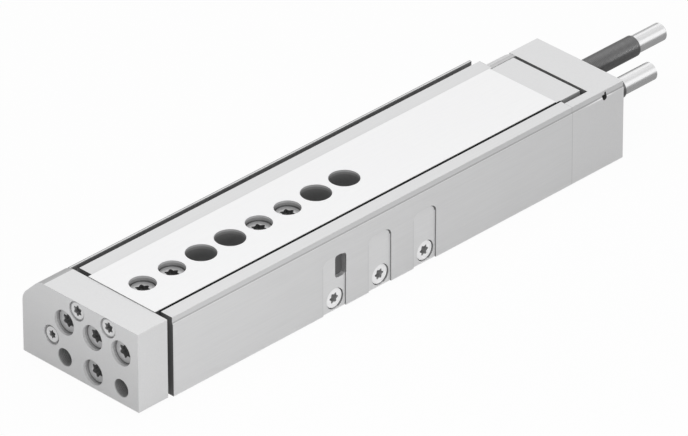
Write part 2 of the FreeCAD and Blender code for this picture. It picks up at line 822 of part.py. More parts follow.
def make_block():
    body = new_body("table_rear_block")
    shape = new_sketch(body, "block_section", "YZ_Plane", -S.table_rear - S.block_len)
    outline(shape, [
        (S.core_half, S.core_low), (S.core_half, S.table_low), (S.table_half, S.table_low),
        (S.table_half, S.block_top), (-S.table_half, S.block_top), (-S.table_half, S.table_low),
        (-S.core_half, S.table_low), (-S.core_half, S.core_low),
        (-S.damper_y - S.tongue_half, S.core_low), (-S.damper_y - S.tongue_half, S.tongue_low),
        (S.tongue_half - S.damper_y, S.tongue_low), (S.tongue_half - S.damper_y, S.core_low)])
    pad(body, shape, S.block_len)
    bore = new_sketch(body, "sleeve_bore", "YZ_Plane", -S.table_rear)
    ring(bore, -S.damper_y, S.damper_z, S.sleeve_dia)
    pocket(body, bore, S.block_len)
    holes = new_sketch(body, "block_holes", "YZ_Plane", -S.table_rear)
    heads = new_sketch(body, "block_heads", "YZ_Plane", -S.table_rear - S.block_len)
    for k in (-1, 1):
        ring(holes, S.block_screw_y * k, S.block_screw_z, S.cap_screw + S.hole_gap)
        ring(heads, S.block_screw_y * k, S.block_screw_z, S.cap_screw_head + S.hole_gap)
    pocket(body, holes, S.block_len)
    pocket(body, heads, S.cap_screw_sink, True)
    return body


def make_yoke():
    body = new_body("yoke_plate")
    shape = new_sketch(body, "yoke_outline", "YZ_Plane", S.yoke_rear)
    outline(shape, [
        (YOKE_NEAR, S.yoke_low), (YOKE_NEAR, S.yoke_top),
        (S.yoke_chamfer - YOKE_FAR, S.yoke_top), (-YOKE_FAR, S.yoke_top - S.yoke_chamfer),
        (-YOKE_FAR, S.yoke_low)])
    plate = pad(body, shape, S.yoke_t)
    spots = [(S.yoke_chamfer - YOKE_FAR, S.yoke_top), (-YOKE_FAR, S.yoke_top - S.yoke_chamfer)]
    dress(body, "Fillet", plate, 0, spots, S.yoke_round)
    face = S.yoke_rear + S.yoke_t
    seats = new_sketch(body, "yoke_seats", "YZ_Plane", face)
    through = new_sketch(body, "yoke_through", "YZ_Plane", face)
    for y, z in yoke_spots():
        ring(seats, y, z, S.screw_seat)
        ring(through, y, z, S.bolt + S.bolt_gap)
    pocket(body, seats, S.screw_sink + S.bolt_head_len)
    pocket(body, through, S.yoke_t)
    threads = new_sketch(body, "tool_threads", "YZ_Plane", face)
    for k in (-1, 1):
        ring(threads, S.grid * k, S.row_low, S.yoke_thread)
    pocket(body, threads, S.yoke_thread_depth)
    bores = new_sketch(body, "plug_bores", "YZ_Plane", face)
    rims = new_sketch(body, "plug_rims", "YZ_Plane", face)
    for k in (-1, 1):
        ring(bores, S.plug_y * k, S.plug_z, S.plug_dia)
        ring(rims, S.plug_y * k, S.plug_z, S.plug_rim)
    ring(rims, -BAR_SCREW_Y, S.bar_screw_z, S.plug_rim)
    pocket(body, bores, S.plug_len)
    pocket(body, rims, S.plug_rim_depth)
    foot = new_sketch(body, "foot_screw_hole", "YZ_Plane", face)
    ring(foot, -BAR_SCREW_Y, S.bar_screw_z, S.bolt + S.bolt_gap)
    pocket(body, foot, S.yoke_t)
    head = new_sketch(body, "foot_screw_head", "YZ_Plane", face)
    ring(head, -BAR_SCREW_Y, S.bar_screw_z, S.bar_screw_head + S.hole_gap)
    pocket(body, head, S.plug_sink + S.bar_screw_head_len)
    pins = new_sketch(body, "yoke_pin_holes", "YZ_Plane", S.yoke_rear)
    for k in (-1, 1):
        ring(pins, S.grid / 2 * k, S.row_high, S.yoke_pin)
    pocket(body, pins, S.yoke_pin_in, True)
    return body


def yoke_spots():
    return ((S.grid, S.row_high), (ZERO, S.row_high), (-S.grid, S.row_high), (ZERO, S.row_low))


def make_bar():
    body = new_body("side_bar")
    top = S.yoke_top - S.bar_inset
    out = YOKE_FAR - S.bar_inset
    lean = S.bar_wall * 0.4142
    skin = new_sketch(body, "bar_section", "YZ_Plane", -S.bar_rear)
    outline(skin, [
        (-BAR_NEAR, top), (S.yoke_chamfer - out, top), (-out, top - S.yoke_chamfer), (-out, S.bar_low),
        (S.bar_wall - out, S.bar_low), (S.bar_wall - out, top - S.yoke_chamfer - lean),
        (S.yoke_chamfer - out + lean, top - S.bar_wall), (-BAR_NEAR, top - S.bar_wall)])
    sheet_part = pad(body, skin, S.bar_rear + S.yoke_rear)
    dress(body, "Fillet", sheet_part, 0, [(-out, top - S.yoke_chamfer)], S.yoke_round)
    foot = new_sketch(body, "bar_foot", "YZ_Plane", S.yoke_rear - S.foot_len)
    oblong(foot, S.bar_wall / 2 - out, -FOOT_NEAR, S.foot_low, S.foot_top)
    pad(body, foot, S.foot_len)
    thread = new_sketch(body, "bar_thread", "YZ_Plane", S.yoke_rear)
    ring(thread, -BAR_SCREW_Y, S.bar_screw_z, S.bolt)
    pocket(body, thread, S.foot_len - 2)
    return body


def tube(name, outer, inner, length, at, way="X"):
    shell = round_bar(name + "_out", outer, length, at, way)
    hollow = round_bar(name + "_in", inner, length, at, way)
    return cut(name, shell, [hollow])


def make_cylinder_parts():
    z = S.row_low
    start = S.bush_front - S.bush_len
    shell = round_bar("bush_blank", S.bore, S.bush_len, (start, ZERO, z))
    inner = round_bar("bush_bore", S.rod + S.rod_gap * 2, S.bush_len, (start, ZERO, z))
    seal_seat = round_bar("seal_seat", S.rod + 3.4, S.seal_w + 0.6, (start + 3, ZERO, z))
    wiper_seat = round_bar("wiper_seat", S.rod + 3, S.seal_w, (S.bush_front - S.seal_w, ZERO, z))
    ring_seat = tube("bush_groove", S.bore + 1, S.bore - 1.8, S.seal_w, (start + 8, ZERO, z))
    keep(cut("bush", shell, [inner, seal_seat, wiper_seat, ring_seat]), "rod_bearing")
    keep(tube("rod_lip", S.rod + 3.4, S.rod + 0.04, S.seal_w + 0.6, (start + 3, ZERO, z)), "rod_seal")
    keep(tube("wiper", S.rod + 3, S.rod + 0.04, S.seal_w, (S.bush_front - S.seal_w, ZERO, z)), "rod_wiper")
    keep(tube("bush_ring", S.bore, S.bore - 1.8, S.seal_w, (start + 8, ZERO, z)), "bearing_o_ring")
    snap = tube("snap_ring", S.ring_dia, S.bore - 3, S.ring_w, (S.bush_front, ZERO, z))
    opening = box("snap_gap", (S.ring_w + 2, 3, 4), (S.bush_front - 1, as_size(-1.5), z + 6))
    keep(cut("snap", snap, [opening]), "retaining_ring")

    plug = round_bar("end_plug_blank", S.bore, S.end_plug_len, (-REAR, ZERO, z))
    seat = tube("end_plug_seat", S.bore + 1, S.bore - 1.8, S.seal_w, (2.4 - REAR, ZERO, z))
    inlet = round_bar("end_plug_inlet", S.passage, S.end_plug_len, (-REAR, ZERO, z))
    keep(cut("end_plug", plug, [seat, inlet]), "bore_end_plug")
    keep(tube("end_ring", S.bore, S.bore - 1.8, S.seal_w, (2.4 - REAR, ZERO, z)), "end_plug_o_ring")


def make_piston():
    z = S.row_low
    rear = -S.piston_front - S.piston_len
    stem = round_bar("rod_stem", S.rod, S.piston_front + S.yoke_rear, (-S.piston_front, ZERO, z))
    spigot = round_bar("rod_spigot", S.spigot, S.spigot_rear - S.piston_front, (-S.spigot_rear, ZERO, z))
    depth = S.bolt_len * 0.7
    thread = round_bar("rod_thread", S.bolt, depth, (S.yoke_rear - depth, ZERO, z))
    keep(cut("rod_turned", fuse("rod_blank", [stem, spigot]), [thread]), "piston_rod")

    disc = round_bar("piston_blank", S.bore - S.piston_gap * 2, S.piston_len, (rear, ZERO, z))
    hole = round_bar("piston_hole", S.spigot, S.piston_len, (rear, ZERO, z))
    tools = [hole]
    grooves = (("a", 1, S.seal_w), ("b", 11, S.seal_w), ("band", 3.8, S.band_w), ("magnet", 7.8, S.magnet_w))
    for name, step, width in grooves:
        tools.append(tube("groove_" + name, S.bore + 2, S.piston_core, width, (rear + step, ZERO, z)))
    keep(cut("piston_turned", disc, tools), "piston")
    snug = S.bore - S.band_gap * 2
    lips = [tube("lip_" + name, snug, S.piston_core, S.seal_w, (rear + step, ZERO, z))
            for name, step in (("a", 1), ("b", 11))]
    keep(group("piston_lips", lips), "piston_seals")
    keep(tube("wear_band", snug, S.piston_core, S.band_w, (rear + 3.8, ZERO, z)), "piston_guide_band")
    inner = S.bore - S.piston_gap * 2 - 0.4
    keep(tube("magnet", inner, S.piston_core, S.magnet_w, (rear + 7.8, ZERO, z)), "piston_magnet")
    nut = prism("nut_blank", 6, 11.5, S.nut_len, (rear - S.nut_len, ZERO, z))
    nut_hole = round_bar("nut_hole", S.spigot, S.nut_len, (rear - S.nut_len, ZERO, z))
    keep(cut("nut", nut, [nut_hole]), "piston_nut")


def make_port_plugs():
    plugs = []
    seals = []
    face = S.housing_half - S.pocket_depth
    for k in range(3):
        x = S.port_x - S.port_pitch * k
        floor = face - S.port_rim_depth
        top = (x, face - S.port_head_sink, S.port_z)
        head = S.port_rim_depth - S.port_head_sink - S.port_seal
        plugs.append(star_screw("plug_%d" % k, top, "-Y", S.port_bore, S.port_plug_len, S.port_head,
                                head, S.port_key, S.port_plug_len / 2))
        seals.append(tube("plug_seal_%d" % k, S.port_head - S.hole_gap, S.port_bore, S.port_seal,
                          (x, floor, S.port_z), "Y"))
    keep(group("plugs", plugs), "port_plugs")
    keep(group("plug_rings", seals), "port_plug_seals")


def make_dampers():
    for label, side, front in (("near", 1, NEAR_FRONT), ("far", -1, S.far_front)):
        y = S.damper_y * side
        z = S.damper_z
        shell = round_bar(label + "_shell", S.damper_dia, S.damper_len, (-front - S.damper_len, y, z))
        mouth = -front - S.chamber_front
        guide = round_bar(label + "_guide", S.pin + S.pin_gap * 2, S.chamber_front, (mouth, y, z))
        hollow = -front - S.chamber_front - S.chamber_len
        chamber = round_bar(label + "_chamber", S.chamber_dia, S.chamber_len, (hollow, y, z))
        keep(cut(label + "_tube", shell, [guide, chamber]), label + "_damper")
        pin = round_bar(label + "_rod", S.pin, S.pin_out + S.pin_in, (-front - S.pin_in, y, z))
        head = round_bar(label + "_disc", S.pin_head, S.pin_head_t, (-front - S.pin_in, y, z))
        keep(fuse(label + "_stem", [pin, head]), label + "_damper_pin")
        keep(make_coil(label, (hollow + S.coil_wire / 2, y, z)), label + "_damper_spring")


def make_coil(label, at):
    # return spring, drawn at the length it has with the pin pushed in
    free = S.chamber_front + S.chamber_len - S.pin_in - S.pin_push
    coil = doc.addObject("Part::Helix", label + "_helix")
    tie(coil, "Pitch", S.coil_pitch)
    tie(coil, "Height", free - S.coil_wire * 1.5)
    tie(coil, "Radius", S.coil_dia / 2)
    wire = doc.addObject("Part::RegularPolygon", label + "_wire")
    wire.Polygon = 6
    tie(wire, "Circumradius", S.coil_wire / 2)
    wire.Placement = FreeCAD.Placement(FreeCAD.Vector(0, 0, 0), FreeCAD.Rotation(FreeCAD.Vector(1, 0, 0), 90))
    tie(wire, ".Placement.Base.x", S.coil_dia / 2)
    spring = doc.addObject("Part::Sweep", label + "_coil")
    spring.Sections = [wire]
    spring.Spine = (coil, ["Edge1"])
    spring.Solid = True
    spring.Frenet = True
    return place(spring, at, TURNS["X"])


def make_sleeves():
    z = S.damper_z
    near = -S.near_sleeve_rear
    tools = [round_bar("near_sleeve_bore", S.damper_dia, 60, (near - 1, S.damper_y, z))]
    length = S.near_sleeve_rear - S.near_sleeve_front
    blank = round_bar("near_sleeve_blank", S.sleeve_dia, length, (near, S.damper_y, z))
    turned = bevelled(cut("near_sleeve_tube", blank, tools), "near_sleeve_turned", near, 0.8)
    keep(turned, "near_damper_sleeve")
    far = -S.far_sleeve_rear
    tools = [round_bar("far_sleeve_bore", S.damper_dia, 120, (far - 1, -S.damper_y, z))]
    length = S.far_sleeve_rear - S.far_sleeve_front
    blank = round_bar("far_sleeve_blank", S.sleeve_dia, length, (far, -S.damper_y, z))
    turned = bevelled(cut("far_sleeve_tube", blank, tools), "far_sleeve_turned", far, 0.8)
    keep(turned, "far_damper_sleeve")
    start = -S.adjuster_rear
    length = S.adjuster_rear - S.far_front - S.damper_len
    bar = round_bar("adjuster_bar", S.damper_dia, length, (start, -S.damper_y, z))
    keep(bevelled(bar, "adjuster_turned", start, 1.0), "far_adjuster_rod")


def bevelled(base, name, x, size):
    # bevels the round outer edge of a turned part at its rear end
    doc.recompute()
    obj = doc.addObject("Part::Chamfer", name)
    obj.Base = base
    picks = []
    widest = max(edge.Length for edge in base.Shape.Edges if edge.Closed)
    for k, edge in enumerate(base.Shape.Edges):
        if edge.Closed and abs(edge.Length - widest) < 0.1 and abs(edge.CenterOfMass.x - x.value) < 0.1:
            picks.append((k + 1, size * 0.7, size * 0.7))
    obj.Edges = picks
    return obj


def make_post():
    foot = S.groove_floor
    body = box("post_blank", (S.post_len, S.post_half * 2, S.post_top - foot),
               (POST_REAR, -S.damper_y - S.post_half, foot))
    tools = []
    screws = []
    for k in (0.28, 0.72):
        x = POST_REAR + S.post_len * k
        name = "post_%d" % (k * 100)
        tools.append(round_bar(name + "_hole", 3.4, S.post_top - foot, (x, -S.damper_y, foot), "Z"))
        tools.append(round_bar(name + "_seat", 5.8, 5, (x, -S.damper_y, S.post_top - 4), "Z"))
        at = (x, -S.damper_y, S.post_top - 4)
        screws.append(socket_screw(name + "_screw", at, "-Z", 3, S.post_top - 4 - foot + 5, 5.5, 3, 2.8))
    keep(cut("post", body, tools), "stop_post")
    keep(group("post_screw_set", screws), "stop_post_screws")


def make_cage(label, side):
    mid = S.ball_y * side
    strip = box(label + "_strip", (S.cage_len, S.cage_t, S.cage_h),
                (-S.cage_x - S.cage_len / 2, mid - S.cage_t / 2, S.track_z - S.cage_h / 2))
    holes = []
    balls = []
    for k in range(10):
        x = S.ball_pitch * k - S.ball_first - S.cage_x
        holes.append(round_bar("%s_hole_%d" % (label, k), S.ball_dia + S.cage_hole_gap * 2, S.cage_t + 2,
                               (x, mid - S.cage_t / 2 - 1, S.track_z), "Y"))
        ball = doc.addObject("Part::Sphere", "%s_ball_%d" % (label, k))
        tie(ball, "Radius", S.ball_dia / 2)
        balls.append(place(ball, (x, mid, S.track_z)))
    keep(cut(label + "_sheet", strip, holes), "ball_cage_" + label)
    keep(group(label + "_balls", balls), "balls_" + label)


def make_fasteners():
    face = S.yoke_rear + S.yoke_t
    top = face - S.screw_sink
    yoke = []
    for k, (y, z) in enumerate(yoke_spots()):
        yoke.append(star_screw("yoke_screw_%d" % k, (top, y, z), "-X", S.bolt, S.bolt_len,
                               S.bolt_head, S.bolt_head_len, S.bolt_key, S.bolt_head_len * 0.6))
    keep(group("yoke_screw_set", yoke), "yoke_screws")

    plugs = []
    for k in (-1, 1):
        at = (face - S.plug_sink, S.plug_y * k, S.plug_z)
        blank = round_bar("yoke_plug_blank_%d" % (k + 1), S.plug_dia, S.plug_len - S.plug_sink, at, "-X")
        key = star_key("yoke_plug_key_%d" % (k + 1), S.plug_key, S.plug_len / 3, at, "-X")
        plugs.append(cut("yoke_plug_%d" % (k + 1), blank, [key]))
    keep(group("yoke_plug_set", plugs), "yoke_plugs")

    at = (face - S.plug_sink, -BAR_SCREW_Y, S.bar_screw_z)
    keep(star_screw("bar_screw_turned", at, "-X", S.bolt, S.bolt_len + S.bolt, S.bar_screw_head,
                    S.bar_screw_head_len, S.bar_screw_key, S.bar_screw_head_len * 0.7), "bar_screw")

    table = []
    for k in FIXING_HOLES:
        at = (S.first_hole - S.grid * k, ZERO, S.table_top - S.small_sink)
        table.append(star_screw("table_screw_%d" % k, at, "-Z", S.bolt, S.small_screw_len, S.small_head,
                                S.small_head_len, S.bolt_key, S.small_head_len * 0.7))
    keep(group("table_screw_set", table), "table_screws")

    rear = S.yoke_rear + S.yoke_pin_in - S.yoke_pin_len
    pins = [round_bar("yoke_pin_%d" % (k + 1), S.yoke_pin, S.yoke_pin_len, (rear, S.grid / 2 * k, S.row_high))
            for k in (-1, 1)]
    keep(group("yoke_pin_set", pins), "yoke_pins")

    block = []
    for k in (-1, 1):
        at = (S.cap_screw_sink - S.table_rear - S.block_len, S.block_screw_y * k, S.block_screw_z)
        block.append(socket_screw("block_screw_%d" % (k + 1), at, "X", S.cap_screw, S.block_screw_len,
                                  S.cap_screw_head, S.cap_screw, S.cap_screw * 0.85))
    keep(group("block_screw_set", block), "block_screws")

    sink = S.cap_screw_sink
    long_set = []
    for k, (y, z) in enumerate(cap_spots()):
        at = (sink - REAR - S.cap_len, y, z)
        long_set.append(socket_screw("cap_screw_%d" % k, at, "X", S.cap_screw, S.cap_screw_len - sink,
                                     S.cap_screw_head, S.cap_screw, S.cap_screw * 0.85))
    keep(group("cap_screw_set", long_set), "rear_cap_screws")
    at = (-REAR - S.recess_len, -EAR_SCREW_Y, S.ear_screw_z)
    keep(socket_screw("ear_screw", at, "X", S.ear_screw, S.recess_len + S.ear_screw_bite, S.ear_screw_head,
                      S.ear_screw, S.ear_screw * 0.93), "cap_ear_screw")

    grubs = []
    for k in (-1, -0.33, 0.33, 1):
        at = (S.preload_x * k, -S.rail_back, S.track_z)
        name = "grub_%d" % (k * 100 + 100)
        blank = round_bar(name + "_blank", S.preload_dia, 3.6, at, "-Y")
        key = prism(name + "_key", 6, 2.3, 2, (at[0], at[1] - 2.2, at[2]), "-Y")
        grubs.append(cut(name, blank, [key]))
    keep(group("grub_set", grubs), "preload_screws")

    at = (S.lock_screw_in - REAR - S.cap_len, S.damper_y, S.damper_z - S.sleeve_dia / 2)
    blank = round_bar("lock_blank", S.lock_screw, S.lock_screw_len, at, "-Z")
    mouth = (at[0], at[1], at[2] - S.lock_screw_len + 2.5)
    key = prism("lock_key", 6, S.lock_screw * 0.58, 3, mouth, "-Z")
    keep(cut("lock", blank, [key]), "sleeve_lock_screw")


make_housing()
make_cap()
make_rail("guide_rail_near", 1)
make_rail("guide_rail_far", -1)
make_core()
make_table()
make_block()
make_yoke()
make_bar()
make_cylinder_parts()
make_piston()
make_port_plugs()
make_dampers()
make_sleeves()
make_post()
make_cage("near", 1)
make_cage("far", -1)
make_fasteners()
doc.recompute()

for obj in doc.Objects:
    if "Invalid" in obj.State or "Error" in obj.State:
        raise RuntimeError("%s (%s) has state %s" % (obj.Name, obj.Label, obj.State))
for label, obj in nodes:
    shape = obj.Shape
    if shape.isNull() or not shape.isValid() or not shape.Solids:
        raise RuntimeError(label + " has no valid solid")
    shape.exportStep("parts/" + label + ".step")
print("%d nodes written" % len(nodes))
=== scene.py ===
import bpy
import json
from math import cos, radians, sin
from mathutils import Matrix, Vector


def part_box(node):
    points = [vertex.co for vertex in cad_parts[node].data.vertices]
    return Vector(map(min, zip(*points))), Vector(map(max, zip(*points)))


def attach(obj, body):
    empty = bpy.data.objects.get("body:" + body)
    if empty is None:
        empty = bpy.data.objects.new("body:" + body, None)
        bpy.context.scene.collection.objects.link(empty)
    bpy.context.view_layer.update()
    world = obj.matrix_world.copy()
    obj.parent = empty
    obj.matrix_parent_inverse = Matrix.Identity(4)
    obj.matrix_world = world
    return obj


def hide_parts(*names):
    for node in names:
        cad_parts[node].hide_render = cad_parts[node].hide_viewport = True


# Pneumatic slide table: bright anodised housing and table, steel guides, turned absorbers.
# Metres, in the frame of the CAD part: +X along the stroke, +Y the port side, +Z up.

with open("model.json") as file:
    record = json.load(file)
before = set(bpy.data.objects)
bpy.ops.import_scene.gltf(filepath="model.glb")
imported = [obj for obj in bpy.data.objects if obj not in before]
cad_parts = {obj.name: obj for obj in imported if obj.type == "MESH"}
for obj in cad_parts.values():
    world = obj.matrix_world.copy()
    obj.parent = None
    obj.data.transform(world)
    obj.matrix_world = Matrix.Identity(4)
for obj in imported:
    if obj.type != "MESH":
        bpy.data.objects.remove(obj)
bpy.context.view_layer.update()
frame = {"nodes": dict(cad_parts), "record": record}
NODES = frame["nodes"]
BODIES = frame["record"]["behaviour"]["bodies"]
BODY_OF = {node: body for body, nodes in BODIES.items() for node in nodes}
MM = 0.001
X, Y, Z = 0, 1, 2


# Places read from the part

YOKE_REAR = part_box("yoke_plate")[0].x
YOKE_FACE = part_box("yoke_plate")[1].x
TABLE_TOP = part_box("slide_table")[1].z
TABLE_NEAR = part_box("slide_table")[1].y
HOUSING_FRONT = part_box("housing")[1].x
HOUSING_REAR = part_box("housing")[0].x
HOUSING_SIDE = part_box("housing")[1].y
HOUSING_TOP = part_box("housing")[1].z
CHANNEL_NEAR = TABLE_NEAR + 1.0 * MM
CHANNEL_FAR = -24 * MM
BAR_INNER = -36.3 * MM
BAR_EDGE = 45.0 * MM
LIP_SIDE = HOUSING_SIDE - 0.6 * MM
LEDGE_LOW = 41.3 * MM
POCKET_MIDDLES = (29 * MM, -3 * MM, -35 * MM)
POCKET_HALF = 8 * MM
POCKET_FLOOR = HOUSING_SIDE - 0.8 * MM
POCKET_TOP = 32 * MM
CROWN_LOW = 27.5 * MM
CROWN_ROUND = 4 * MM
WINDOW_FLOOR = HOUSING_SIDE - 3.4 * MM
WINDOW_LOW = 17.9 * MM
TOOL_HOLE_Y = 20 * MM
TOOL_HOLE_Z = 9.5 * MM
TOOL_BORE = 4.85 * MM

# how far a zone reaches past a face, and an end past the whole object
HAIR = 0.04 * MM
FAR = 1.0


# Helpers

def deselect():
    bpy.ops.object.select_all(action="DESELECT")
    bpy.context.view_layer.objects.active = None


def pick(piece):
    deselect()
    piece.select_set(True)
    bpy.context.view_layer.objects.active = piece


def edit_all(select):
    bpy.ops.object.mode_set(mode="EDIT")
    bpy.ops.mesh.select_all(action=select)


def bare_tree(owner):
    owner.use_nodes = True
    owner.node_tree.nodes.clear()
    return owner.node_tree


def combine(tree, kind, one, two):
    # a Math node fed by two sources; a plain number is set on its socket
    both = tree.nodes.new("ShaderNodeMath")
    both.operation = kind
    for socket, source in zip(both.inputs, (one, two)):
        if isinstance(source, float):
            socket.default_value = source
        else:
            tree.links.new(source, socket)
    return both.outputs[0]


def light_node(tree, kind, tone, strength):
    # an even glow of one tone: an Emission or a Background node
    node = tree.nodes.new(kind)
    node.inputs["Color"].default_value = (tone, tone, tone, 1)
    node.inputs["Strength"].default_value = strength
    return node.outputs[0]


def mixed_output(tree, kind, share, one, two):
    # shader one where the share is 0 and shader two where it is 1, led to the output
    both = tree.nodes.new("ShaderNodeMixShader")
    out = tree.nodes.new(kind)
    for socket, source in zip(both.inputs, (share, one, two)):
        tree.links.new(source, socket)
    tree.links.new(both.outputs[0], out.inputs["Surface"])


# Camera

CAMERA_AT = Vector((2.66256, 2.66956, 2.33416))
CAMERA_AZIMUTH = radians(44.96)
CAMERA_ELEVATION = radians(31.46)
CAMERA_ROLL = radians(-0.1)
CAMERA_LENS = 462.5
CAMERA_FILM = 36
CAMERA_REACH = (0.1, 30)


def make_camera():
    data = bpy.data.cameras.new("camera")
    data.sensor_width = CAMERA_FILM
    data.lens = CAMERA_LENS
    data.clip_start, data.clip_end = CAMERA_REACH
    camera = bpy.data.objects.new("camera", data)
    bpy.context.scene.collection.objects.link(camera)
    flat = Vector((cos(CAMERA_AZIMUTH), sin(CAMERA_AZIMUTH), 0))
    back = flat * cos(CAMERA_ELEVATION) + Vector((0, 0, sin(CAMERA_ELEVATION)))
    level = Vector((-sin(CAMERA_AZIMUTH), cos(CAMERA_AZIMUTH), 0))
    upright = back.cross(level)
    right = level * cos(CAMERA_ROLL) + upright * sin(CAMERA_ROLL)
    up = upright * cos(CAMERA_ROLL) - level * sin(CAMERA_ROLL)
    turn = Matrix((right, up, back)).transposed()
    camera.matrix_world = Matrix.Translation(CAMERA_AT) @ turn.to_4x4()
    bpy.context.scene.camera = camera
    bpy.context.scene.view_settings.view_transform = "Standard"


# Light, cards and floor

# name, place, aim, width, power
LAMPS = (
    ("top_softbox", (-0.1, -0.1, 1.8), (0, 0, 0), 2.2, 14),
    ("side_softbox", (0.32, 0.55, 0.14), (0.06, 0, 0.02), 0.3, 1.1),
)
# name, place, aim, width, height, tone, strength
CARDS = (
    ("floor_card", (-0.3, 0.32, 0.0005), (-0.3, 0.32, 1), 1.6, 0.5, 0.36, 1),
    ("rear_card", (-0.9, -1.0, 0.0), (-0.2, 0, 0.02), 1.6, 0.5, 0.45, 1),
    ("front_card", (-1.1, 1.2, 0.62), (-0.2, 0, 0.02), 1.4, 0.5, 1, 1.2),
    ("back_card", (-1.05, -1.0, 1.1), (-0.2, 0, 0.02), 1.4, 0.45, 1, 1.1),
)
WORLD_LIGHT = 0.55
MIRROR_SHARE = 0.6
FLOOR_SIZE = 30
FLOOR_DROP = 0.5 * MM
FLOOR_TONE = 0.8
FLOOR_GLOW = 0.95


def facing(at, aim):
    return (Vector(aim) - Vector(at)).to_track_quat("-Z", "Y").to_euler()


def area_lamp(name, at, aim, size, power):
    data = bpy.data.lights.new(name, "AREA")
    data.shape = "DISK"
    data.size = size
    data.energy = power
    lamp = bpy.data.objects.new(name, data)
    bpy.context.scene.collection.objects.link(lamp)
    lamp.location = at
    lamp.rotation_euler = facing(at, aim)


def studio_card(name, at, aim, width, height, tone, strength):
    # a plain card beside the object that only shows as a reflection
    deselect()
    bpy.ops.mesh.primitive_plane_add(size=1, location=at, rotation=facing(at, aim),
                                     scale=(width, height, 1))
    card = bpy.context.object
    card.name = name
    mat = bpy.data.materials.new(name)
    tree = bare_tree(mat)
    out = tree.nodes.new("ShaderNodeOutputMaterial")
    tree.links.new(light_node(tree, "ShaderNodeEmission", tone, strength), out.inputs["Surface"])
    card.data.materials.append(mat)
    card.visible_camera = False
    card.visible_diffuse = False
    card.visible_shadow = False


def seen_rays(tree):
    # 1 for what the camera sees straight or through glass, a share of it in a mirror, else 0
    path = tree.nodes.new("ShaderNodeLightPath")
    mirror = combine(tree, "MULTIPLY", path.outputs["Is Glossy Ray"], MIRROR_SHARE)
    straight = combine(tree, "MAXIMUM", path.outputs["Is Camera Ray"], mirror)
    return combine(tree, "MAXIMUM", straight, path.outputs["Is Transmission Ray"])


def make_world():
    world = bpy.data.worlds.new("studio")
    tree = bare_tree(world)
    soft = light_node(tree, "ShaderNodeBackground", 1, WORLD_LIGHT)
    white = light_node(tree, "ShaderNodeBackground", 1, 1)
    mixed_output(tree, "ShaderNodeOutputWorld", seen_rays(tree), soft, white)
    bpy.context.scene.world = world


def make_floor():
    deselect()
    bpy.ops.mesh.primitive_plane_add(size=FLOOR_SIZE, location=(0, 0, -FLOOR_DROP))
    floor = bpy.context.object
    floor.name = "studio_floor"
    mat = bpy.data.materials.new("pale_floor")
    tree = bare_tree(mat)
    paint = tree.nodes.new("ShaderNodeBsdfDiffuse")
    paint.inputs["Color"].default_value = (FLOOR_TONE, FLOOR_TONE, FLOOR_TONE, 1)
    glow = light_node(tree, "ShaderNodeEmission", 1, 1)
    share = combine(tree, "MULTIPLY", seen_rays(tree), FLOOR_GLOW)
    mixed_output(tree, "ShaderNodeOutputMaterial", share, paint.outputs[0], glow)
    floor.data.materials.append(mat)


# Surface patterns

GRAIN_DETAIL = 3
CLOUDS_PER_METRE = 40
RAMP_START = 0.3
RAMP_END = 0.7
GLOSS_CHANGE = 0.06
MARK_STRENGTH = 0.4
MIX_ONE, MIX_TWO, MIX_OUT = 6, 7, 2


def grey(value):
    # a touch towards blue, as bare aluminium and steel are
    return (value, value, value * 1.005)


def grain(tree, stretch, size):
    # noise drawn out along the tool's path, in the part's own coordinates
    place = tree.nodes.new("ShaderNodeTexCoord")
    mapping = tree.nodes.new("ShaderNodeMapping")
    mapping.inputs["Scale"].default_value = stretch
    noise = tree.nodes.new("ShaderNodeTexNoise")
    noise.inputs["Scale"].default_value = size
    noise.inputs["Detail"].default_value = GRAIN_DETAIL
    tree.links.new(place.outputs["Object"], mapping.inputs["Vector"])
    tree.links.new(mapping.outputs["Vector"], noise.inputs["Vector"])
    return noise.outputs["Fac"]


def ramp(tree, source, low, high):
    # noise turned into a colour between two tones
    tone = tree.nodes.new("ShaderNodeValToRGB")
    first, last = tone.color_ramp.elements
    first.position, last.position = RAMP_START, RAMP_END
    first.color = (*low, 1)
    last.color = (*high, 1)
    tree.links.new(source, tone.inputs["Fac"])
    return tone.outputs["Color"]


def spread(tree, source, low, high):
    # noise turned into a number between two values
    change = tree.nodes.new("ShaderNodeMapRange")
    change.inputs["To Min"].default_value = low
    change.inputs["To Max"].default_value = high
    tree.links.new(source, change.inputs["Value"])
    return change.outputs["Result"]


def emboss(tree, shader, source, height):
    # fine marks raised on the surface
    bump = tree.nodes.new("ShaderNodeBump")
    bump.inputs["Distance"].default_value = height
    bump.inputs["Strength"].default_value = MARK_STRENGTH
    tree.links.new(source, bump.inputs["Height"])
    tree.links.new(bump.outputs["Normal"], shader.inputs["Normal"])


def coordinates(tree):
    place = tree.nodes.new("ShaderNodeTexCoord")
    split = tree.nodes.new("ShaderNodeSeparateXYZ")
    tree.links.new(place.outputs["Object"], split.inputs[0])
    return split.outputs


def between(tree, axis, low, high):
    # 1 where the place along an axis lies between two values, else 0
    along = coordinates(tree)[axis]
    over = combine(tree, "GREATER_THAN", along, low)
    under = combine(tree, "LESS_THAN", along, high)
    return combine(tree, "MULTIPLY", over, under)


def beyond(tree, line, middle, reach):
    # 1 where the place is farther than the reach from a line along one axis, else 0
    places = coordinates(tree)
    flat = tree.nodes.new("ShaderNodeCombineXYZ")
    for axis in (X, Y, Z):
        if axis != line:
            tree.links.new(places[axis], flat.inputs[axis])
    far = tree.nodes.new("ShaderNodeVectorMath")
    far.operation = "DISTANCE"
    far.inputs[1].default_value = middle
    tree.links.new(flat.outputs[0], far.inputs[0])
    return combine(tree, "GREATER_THAN", far.outputs["Value"], reach)


